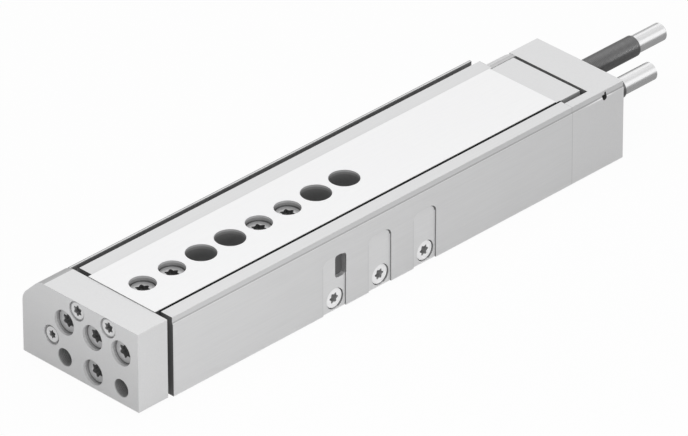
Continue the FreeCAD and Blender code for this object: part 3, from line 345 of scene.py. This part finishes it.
def zone(left, x=None, y=None, z=None, outside=None):
    # a box in the part's coordinates where light or shade is painted, and the share of colour left
    # in it: under 1 for painted shade, over 1 for a painted highlight; outside = (axis of a line,
    # its middle, reach) leaves out what lies round that line
    spans = [(axis, *span) for axis, span in ((X, x), (Y, y), (Z, z)) if span is not None]
    return left, spans, outside


def paint_light_and_shade(tree, colour, zones):
    # paints shade on walls deep in gaps, seats and recesses, and paints highlights on edges that
    # catch the light, by multiplying the colour in each zone
    for left, spans, outside in zones:
        parts = [between(tree, *span) for span in spans]
        if outside is not None:
            parts.append(beyond(tree, *outside))
        weight = parts[0]
        for part in parts[1:]:
            weight = combine(tree, "MULTIPLY", weight, part)
        mix = tree.nodes.new("ShaderNodeMix")
        mix.data_type = "RGBA"
        mix.blend_type = "MULTIPLY"
        mix.inputs[MIX_TWO].default_value = (left, left, left, 1)
        tree.links.new(weight, mix.inputs[0])
        tree.links.new(colour, mix.inputs[MIX_ONE])
        colour = mix.outputs[MIX_OUT]
    return colour


# Painted shade and painted highlights of the anodised pieces

def ledge_zones():
    # a painted highlight on the edge of the ledge under the lip, and painted shade in the corner
    # above it and on the lip's own side
    lit_top = LEDGE_LOW + 0.55 * MM
    corner_top = LEDGE_LOW + 1.25 * MM
    lit_edge = (LIP_SIDE + 0.15 * MM, HOUSING_SIDE - HAIR)
    corner = (LIP_SIDE - 0.1 * MM, LIP_SIDE + 0.3 * MM)
    lip = (LIP_SIDE - 0.1 * MM, LIP_SIDE + 0.05 * MM)
    return (
        zone(1.12, y=lit_edge, z=(LEDGE_LOW - HAIR, lit_top)),
        zone(0.66, y=corner, z=(lit_top, corner_top)),
        zone(0.9, y=lip, z=(corner_top, HOUSING_TOP - 0.2 * MM)),
    )


def pocket_zones():
    # a painted shade line at the front edge of each shallow recess, and painted shade in the rear
    # corner under its round top, which shows in the two rear ones
    skin = (HOUSING_SIDE - 0.3 * MM, FAR)
    floor = (POCKET_FLOOR - HAIR, POCKET_FLOOR + HAIR)
    dark_from = CROWN_ROUND - 0.65 * MM
    zones = []
    for middle in POCKET_MIDDLES:
        front = middle + POCKET_HALF
        zones.append(zone(0.93, x=(front - 0.1 * MM, front + 0.5 * MM), y=skin, z=(-FAR, 28 * MM)))
    for middle in POCKET_MIDDLES[1:]:
        rear = middle - POCKET_HALF
        centre = (rear + CROWN_ROUND, 0, CROWN_LOW)
        zones.append(zone(0.2, x=(rear, rear + CROWN_ROUND), y=floor, z=(CROWN_LOW, POCKET_TOP),
                          outside=(Y, centre, dark_from)))
    return tuple(zones)


def housing_zones():
    # painted shade on the front face in the gap, a darker joint with the cap, painted shade on the
    # walls of the recesses with their floors a little lighter, painted shade on the walls and
    # floor of the window with painted light on its sill, and painted shade in the channel
    front_face = (HOUSING_FRONT - HAIR, FAR)
    rear_joint = (-FAR, HOUSING_REAR + 0.3 * MM)
    behind = (-FAR, HOUSING_FRONT - 1 * MM)
    pocket_wall = (POCKET_FLOOR + HAIR, HOUSING_SIDE - HAIR)
    pocket_floor = (POCKET_FLOOR - HAIR, POCKET_FLOOR + HAIR)
    pocket_height = (-FAR, POCKET_TOP)
    window_wall = (WINDOW_FLOOR + HAIR, POCKET_FLOOR - HAIR)
    window_floor = (WINDOW_FLOOR - 0.9 * MM, WINDOW_FLOOR + HAIR)
    window_height = (1 * MM, POCKET_TOP)
    window_sill = (WINDOW_LOW - 0.9 * MM, WINDOW_LOW + 0.8 * MM)
    channel_length = (-FAR, HOUSING_FRONT - HAIR)
    channel_width = (CHANNEL_FAR, CHANNEL_NEAR + HAIR)
    channel_height = (22 * MM, HOUSING_TOP - HAIR)
    return (
        zone(0.19, x=front_face),
        zone(0.75, x=rear_joint),
        zone(0.25, x=behind, y=pocket_wall, z=pocket_height),
        zone(1.07, x=behind, y=pocket_floor, z=pocket_height),
        zone(0.42, x=behind, y=window_wall, z=window_height),
        zone(1.8, x=behind, y=window_wall, z=window_sill),
        zone(0.2, x=behind, y=window_floor, z=window_height),
        zone(0.6, x=channel_length, y=channel_width, z=channel_height),
    ) + pocket_zones() + ledge_zones()


def cap_zones():
    # painted shade in the recess round the table's end and on its far rim, and in the vent with
    # the nick above it
    recess = (-159 * MM, HOUSING_REAR - HAIR)
    recess_width = (-23.6 * MM, 27.2 * MM)
    recess_height = (5 * MM, HOUSING_TOP - HAIR)
    far_rim = (-26.5 * MM, -23.6 * MM)
    vent = (-167.1 * MM, -163.9 * MM)
    vent_depth = (20 * MM, HOUSING_SIDE - 0.05 * MM)
    nick_depth = (20 * MM, LIP_SIDE - 0.05 * MM)
    return (
        zone(0.3, x=recess, y=recess_width, z=recess_height),
        zone(0.78, x=recess, y=far_rim, z=(40 * MM, FAR)),
        zone(0.12, x=vent, y=vent_depth, z=(39.8 * MM, 42.95 * MM)),
        zone(0.12, x=vent, y=nick_depth, z=(42.9 * MM, 44.3 * MM)),
    ) + ledge_zones()


def yoke_zones():
    # painted shade on the walls of the holes, darker inside and lighter at the mouth, and on the
    # far rounding
    mouth = YOKE_FACE - 1.6 * MM
    hole_width = (-33 * MM, 31 * MM)
    hole_height = (2 * MM, 45 * MM)
    rounding = (-50 * MM, -34.2 * MM)
    return (
        zone(0.55, x=(YOKE_REAR + 1 * MM, mouth), y=hole_width, z=hole_height),
        zone(0.85, x=(mouth, YOKE_FACE - HAIR), y=hole_width, z=hole_height),
        zone(0.62, x=(YOKE_REAR, YOKE_FACE - 0.2 * MM), y=rounding, z=(30 * MM, FAR)),
    )


def table_zones():
    # painted shade on the walls of the seats, darker the deeper they go, on the front end and on
    # the side in the gap
    row = (-10 * MM, 10 * MM)
    brim = TABLE_TOP - 0.15 * MM
    middle = TABLE_TOP - 1.3 * MM
    deep = TABLE_TOP - 2.6 * MM
    return (
        zone(0.6, y=row, z=(middle, brim)),
        zone(0.36, y=row, z=(deep, middle)),
        zone(0.26, y=row, z=(-FAR, deep)),
        zone(0.35, x=(YOKE_REAR - HAIR, FAR)),
        zone(0.1, y=(TABLE_NEAR - HAIR, FAR), z=(-FAR, TABLE_TOP - 0.25 * MM)),
    )


def bar_zones():
    # painted shade on the side towards the housing and on the far half of the top
    return (
        zone(0.3, y=(BAR_INNER - HAIR, FAR), z=(-FAR, BAR_EDGE)),
        zone(0.45, y=(-FAR, BAR_INNER - 0.75 * MM), z=(BAR_EDGE, FAR)),
    )


# Painted shade on the screws and plugs

# what lies behind the outer face of the heads is in their star recesses, which get painted shade
KEY_START = 0.15 * MM
TABLE_KEYS = (-FAR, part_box("table_screws")[1].z - KEY_START)
YOKE_KEYS = (-FAR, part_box("yoke_screws")[1].x - KEY_START)
PLUG_KEYS = (-FAR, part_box("yoke_plugs")[1].x - KEY_START)
PORT_KEYS = (-FAR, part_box("port_plugs")[1].y - KEY_START)
PLUG_SEAM = 0.5 * MM


def plug_zones():
    # painted shade in the star recesses of the yoke's plugs and of the foot's screw, and a ring of
    # painted shade in the seam round each
    zones = [zone(0.35, x=PLUG_KEYS)]
    for name in ("yoke_plugs", "bar_screw"):
        low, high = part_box(name)
        radius = (high.z - low.z) / 2
        height = (low.z - HAIR, high.z + HAIR)
        for y in (low.y + radius, high.y - radius):
            zones.append(zone(0.62, y=(y - radius - HAIR, y + radius + HAIR), z=height,
                              outside=(X, (0, y, low.z + radius), radius - PLUG_SEAM)))
    return tuple(zones)


# Finishes

ALONG = (0.04, 1, 1)
ACROSS = (1, 0.04, 1)
ALL_WAYS = (1, 1, 1)
SATIN = 0.01 * MM
FINE = 0.006 * MM
POLISHED = 0.003 * MM
# sheen of the strip that paints the shadow in the gap
GAP_SHADOW_SHEEN = 0.08

# material, colour, change of tone, metal, roughness, run, number per metre and height of its marks
FINISHES = {
    "housing": ("anodised_housing", grey(0.74), 0.012, 0.25, 0.42, ALONG, 900, SATIN),
    "cap": ("anodised_cap", grey(0.75), 0.012, 0.25, 0.42, ALL_WAYS, 1200, SATIN),
    "inner": ("anodised_inner", grey(0.75), 0.012, 0.25, 0.42, ALL_WAYS, 1200, SATIN),
    "yoke": ("anodised_yoke", grey(0.75), 0.012, 0.25, 0.42, ALL_WAYS, 1200, SATIN),
    "table": ("ground_table", grey(0.93), 0.01, 0.2, 0.35, ALONG, 1500, FINE),
    "bar": ("anodised_bar", grey(0.70), 0.012, 0.25, 0.4, ALONG, 900, SATIN),
    "steel": ("ground_steel", grey(0.46), 0.02, 0.8, 0.3, ALONG, 1500, FINE),
    "bright": ("bright_steel", grey(0.80), 0.015, 1.0, 0.26, ALL_WAYS, 1500, POLISHED),
    "sleeve": ("dark_sleeve", grey(0.165), 0.015, 0.7, 0.3, ACROSS, 1500, FINE),
    "screw": ("zinc_screw", grey(0.62), 0.02, 0.7, 0.3, ALL_WAYS, 1800, FINE),
    "table_screw": ("table_screw_zinc", grey(0.60), 0.02, 0.7, 0.3, ALL_WAYS, 1800, FINE),
    "yoke_screw": ("yoke_screw_zinc", grey(0.62), 0.02, 0.5, 0.3, ALL_WAYS, 1800, FINE),
    "yoke_plug": ("yoke_plug_plated", grey(0.83), 0.012, 0.1, 0.35, ALL_WAYS, 1800, FINE),
    "port_plug": ("port_plug_plated", grey(0.95), 0.012, 0.0, 0.35, ALL_WAYS, 1800, FINE),
    "dark": ("dark_magnet", grey(0.06), 0.01, 0.5, 0.5, ALL_WAYS, 1800, FINE),
    "brass": ("brass_cage", (0.72, 0.52, 0.22), 0.02, 0.9, 0.32, ALONG, 1500, FINE),
    "rubber": ("black_rubber", grey(0.03), 0.006, 0.0, 0.6, ALL_WAYS, 2500, SATIN),
    "thread": ("cut_thread", grey(0.3), 0.02, 0.6, 0.4, ALL_WAYS, 1800, FINE),
    # a near-black strip that paints the shadow in the gap beside the table
    "lip": ("lip_rubber", grey(0.009), 0.003, 0.0, 0.75, ALL_WAYS, 2500, SATIN),
}

# painted shade and painted highlights laid over each finish
ZONES = {
    "housing": housing_zones(),
    "cap": cap_zones(),
    "yoke": yoke_zones(),
    "table": table_zones(),
    "bar": bar_zones(),
    "table_screw": (zone(0.35, z=TABLE_KEYS),),
    "yoke_screw": (zone(0.5, x=YOKE_KEYS),),
    "yoke_plug": plug_zones(),
    "port_plug": (zone(0.4, y=PORT_KEYS),),
}

# the nodes in each finish; all others are zinc plated, as the plain screws are
NODES_IN = {
    "housing": ("housing",),
    "cap": ("rear_cap",),
    "inner": ("table_rear_block", "piston", "rod_bearing", "bore_end_plug"),
    "yoke": ("yoke_plate",),
    "table": ("slide_table",),
    "bar": ("side_bar",),
    "steel": ("slide_core", "guide_rail_near", "guide_rail_far", "stop_post"),
    "bright": ("piston_rod", "balls_near", "balls_far", "near_damper", "near_damper_pin",
               "far_damper", "far_damper_pin", "far_adjuster_rod"),
    "sleeve": ("near_damper_sleeve", "far_damper_sleeve"),
    "table_screw": ("table_screws",),
    "yoke_screw": ("yoke_screws",),
    "yoke_plug": ("yoke_plugs", "bar_screw"),
    "port_plug": ("port_plugs",),
    "dark": ("piston_magnet",),
    "brass": ("ball_cage_near", "ball_cage_far"),
    "rubber": ("rod_seal", "rod_wiper", "bearing_o_ring", "end_plug_o_ring", "piston_seals",
               "port_plug_seals", "piston_guide_band"),
}
FINISH_OF = {node: finish for finish, nodes in NODES_IN.items() for node in nodes}


def metal_finish(name, tone, vary, metal, rough, stretch, size, height, zones):
    # machined, turned or moulded: slight change of tone and gloss, fine tool marks
    mat = bpy.data.materials.new(name)
    mat.use_nodes = True
    tree = mat.node_tree
    shader = tree.nodes["Principled BSDF"]
    shader.inputs["Metallic"].default_value = metal
    shader.inputs["Roughness"].default_value = rough
    marks = grain(tree, stretch, size)
    clouds = grain(tree, ALL_WAYS, CLOUDS_PER_METRE)
    low = tuple(c - vary for c in tone)
    high = tuple(c + vary for c in tone)
    # the zones lay painted shade and painted highlights over the tone
    colour = paint_light_and_shade(tree, ramp(tree, marks, low, high), zones)
    gloss = spread(tree, clouds, rough - GLOSS_CHANGE, rough + GLOSS_CHANGE)
    tree.links.new(colour, shader.inputs["Base Color"])
    tree.links.new(gloss, shader.inputs["Roughness"])
    emboss(tree, shader, marks, height)
    return mat


def make_materials():
    materials = {key: metal_finish(*row, ZONES.get(key, ())) for key, row in FINISHES.items()}
    # the strip of painted gap shadow has almost no sheen
    lip = materials["lip"].node_tree.nodes["Principled BSDF"]
    lip.inputs["Specular IOR Level"].default_value = GAP_SHADOW_SHEEN
    return materials


def paint_nodes(materials):
    # the part's own solids, each in its finish
    for name, node in NODES.items():
        for slot in node.material_slots:
            slot.material = materials[FINISH_OF.get(name, "screw")]


# Turned pieces

SMOOTH_UNDER = radians(30)
THREAD_PITCH = 1.0 * MM
SLEEVE_SIDES = 64
SLEEVE_WALL = 1.6 * MM
SLEEVE_BEVEL = 0.8 * MM
SLEEVE_THREAD_DEPTH = 0.16 * MM
TOOL_SIDES = 48
TOOL_THREAD_DEPTH = 0.2 * MM
END_FACE_AREA = 20 * MM * MM


def turned(name, steps, y, z, mat, body, sides):
    # a piece turned about a line along X: steps are (place along X, radius) from its first end
    deselect()
    x, radius = steps[0]
    bpy.ops.mesh.primitive_circle_add(vertices=sides, radius=radius, fill_type="NGON",
                                      location=(x, y, z), rotation=(0, radians(-90), 0))
    piece = bpy.context.object
    piece.name = name
    bpy.ops.object.transform_apply(location=True, rotation=True, scale=True)
    edit_all("SELECT")
    for next_x, next_radius in steps[1:]:
        bpy.ops.mesh.extrude_region_move(TRANSFORM_OT_translate={"value": (next_x - x, 0, 0)})
        ratio = next_radius / radius
        bpy.ops.transform.resize(value=(1, ratio, ratio), center_override=(next_x, y, z))
        x = next_x
        radius = next_radius
    bpy.ops.mesh.select_all(action="SELECT")
    bpy.ops.mesh.normals_make_consistent(inside=False)
    bpy.ops.object.mode_set(mode="OBJECT")
    bpy.ops.object.shade_smooth_by_angle(angle=SMOOTH_UNDER)
    piece.data.materials.append(mat)
    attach(piece, body)
    return piece


def ribs(start, end, radius, depth):
    # steps of a fine thread: crest, slope, root and slope in each pitch
    steps = []
    count = int(abs(end - start) / THREAD_PITCH)
    pitch = (end - start) / count
    for k in range(count):
        for share, drop in ((0.1, 0), (0.4, 0), (0.6, depth), (0.9, depth)):
            steps.append((start + pitch * (k + share), radius - drop))
    return steps


def make_sleeves():
    # the two dark sleeves with the fine thread along them
    for label, body in (("near", "housing"), ("far", "slide")):
        low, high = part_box(label + "_damper_sleeve")
        y = (low.y + high.y) / 2
        z = (low.z + high.z) / 2
        radius = (high.z - low.z) / 2
        bore = radius - SLEEVE_WALL
        steps = [(low.x, bore), (low.x, radius - SLEEVE_BEVEL), (low.x + SLEEVE_BEVEL, radius)]
        steps += ribs(low.x + 2 * MM, high.x - 1 * MM, radius, SLEEVE_THREAD_DEPTH)
        steps += [(high.x, radius), (high.x, bore)]
        piece = turned(label + "_sleeve_thread", steps, y, z,
                       MATERIALS["sleeve"], body, SLEEVE_SIDES)
        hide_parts(label + "_damper_sleeve")


def make_tool_threads():
    # cut threads in the two tool holes of the yoke plate, open towards the front
    front = YOKE_FACE - 0.6 * MM
    back = YOKE_FACE - 14.9 * MM
    steps = [(front, TOOL_BORE)] + ribs(front, back, TOOL_BORE, TOOL_THREAD_DEPTH)
    for side, label in ((-1, "far"), (1, "near")):
        piece = turned("tool_thread_" + label, steps, side * TOOL_HOLE_Y, TOOL_HOLE_Z,
                       MATERIALS["thread"], "slide", TOOL_SIDES)
        pick(piece)
        edit_all("DESELECT")
        bpy.ops.object.mode_set(mode="OBJECT")
        for face in piece.data.polygons:
            face.select = face.normal.x > 0.9 and face.area > END_FACE_AREA
        bpy.ops.object.mode_set(mode="EDIT")
        bpy.ops.mesh.select_mode(type="FACE")
        bpy.ops.mesh.delete(type="FACE")
        bpy.ops.mesh.select_all(action="SELECT")
        bpy.ops.mesh.flip_normals()
        bpy.ops.object.mode_set(mode="OBJECT")


# Painted shadow in the gap

def make_gap_shadow_strip():
    # a near-black strip in the gap beside the table, which paints the shadow that falls into the
    # gap
    deselect()
    inner = TABLE_NEAR + 0.05 * MM
    outer = CHANNEL_NEAR + 0.15 * MM
    top = HOUSING_TOP + 0.1 * MM
    height = 0.8 * MM
    middle = ((HOUSING_FRONT + HOUSING_REAR) / 2, (inner + outer) / 2, top - height / 2)
    bpy.ops.mesh.primitive_cube_add(size=1, location=middle,
                                    scale=(HOUSING_FRONT - HOUSING_REAR, outer - inner, height))
    lip = bpy.context.object
    lip.name = "gap_shadow_strip_near"
    bpy.ops.object.transform_apply(location=True, rotation=True, scale=True)
    edit_all("SELECT")
    bpy.ops.mesh.bevel(offset=0.12 * MM, segments=2, affect="EDGES")
    bpy.ops.object.mode_set(mode="OBJECT")
    bpy.ops.object.shade_smooth_by_angle(angle=SMOOTH_UNDER)
    lip.data.materials.append(MATERIALS["lip"])
    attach(lip, "housing")


# The part's own solids with their sharp edges broken

# node, width of its broken edges, axis of its star recesses
SOFTENED = (
    ("slide_table", 0.2 * MM, None),
    ("side_bar", 0.2 * MM, None),
    ("table_rear_block", 0.2 * MM, None),
    ("housing", 0.15 * MM, None),
    ("rear_cap", 0.15 * MM, None),
    ("yoke_plate", 0.08 * MM, None),
    ("yoke_plugs", 0.15 * MM, X),
    ("yoke_screws", 0.15 * MM, X),
    ("bar_screw", 0.15 * MM, X),
    ("port_plugs", 0.15 * MM, Y),
    ("table_screws", 0.15 * MM, Z),
)
SAME_POINT = 0.001 * MM
SAME_PLANE = radians(0.5)
SHARP_OVER = radians(35)
BEVEL_OVER = radians(40)
LOBE_ROUND = 0.5 * MM


def round_lobes(piece, axis):
    # rounds the corners of the star recesses, whose edges run along the screws' own axis
    bpy.ops.mesh.select_mode(type="EDGE")
    bpy.ops.mesh.select_all(action="DESELECT")
    bpy.ops.mesh.edges_select_sharp(sharpness=SHARP_OVER)
    bpy.ops.object.mode_set(mode="OBJECT")
    points = piece.data.vertices
    for edge in piece.data.edges:
        if edge.select:
            run = points[edge.vertices[1]].co - points[edge.vertices[0]].co
            edge.select = abs(run.normalized()[axis]) > 0.99
    bpy.ops.object.mode_set(mode="EDIT")
    bpy.ops.mesh.bevel(offset=LOBE_ROUND, segments=4, affect="EDGES", clamp_overlap=True)


def softened(name, width, star_axis):
    # a copy of the part's own solid that stands for it
    node = NODES[name]
    piece = node.copy()
    piece.data = node.data.copy()
    piece.name = name + "_dressed"
    bpy.context.scene.collection.objects.link(piece)
    pick(piece)
    bpy.ops.mesh.customdata_custom_splitnormals_clear()
    edit_all("SELECT")
    bpy.ops.mesh.remove_doubles(threshold=SAME_POINT)
    bpy.ops.mesh.dissolve_limited(angle_limit=SAME_PLANE)
    if star_axis is not None:
        round_lobes(piece, star_axis)
    bpy.ops.object.mode_set(mode="OBJECT")
    edge = piece.modifiers.new("broken_edges", "BEVEL")
    edge.width = width
    edge.segments = 2
    edge.limit_method = "ANGLE"
    edge.angle_limit = BEVEL_OVER
    bpy.ops.object.modifier_apply(modifier="broken_edges")
    bpy.ops.object.shade_smooth_by_angle(angle=SHARP_OVER)
    level = piece.modifiers.new("flat_faces", "WEIGHTED_NORMAL")
    level.keep_sharp = True
    bpy.ops.object.modifier_apply(modifier="flat_faces")
    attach(piece, BODY_OF[name])
    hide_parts(name)


MATERIALS = make_materials()
make_camera()
make_world()
for lamp in LAMPS:
    area_lamp(*lamp)
for card in CARDS:
    studio_card(*card)
make_floor()
paint_nodes(MATERIALS)
make_sleeves()
make_gap_shadow_strip()
make_tool_threads()
for piece in SOFTENED:
    softened(*piece)
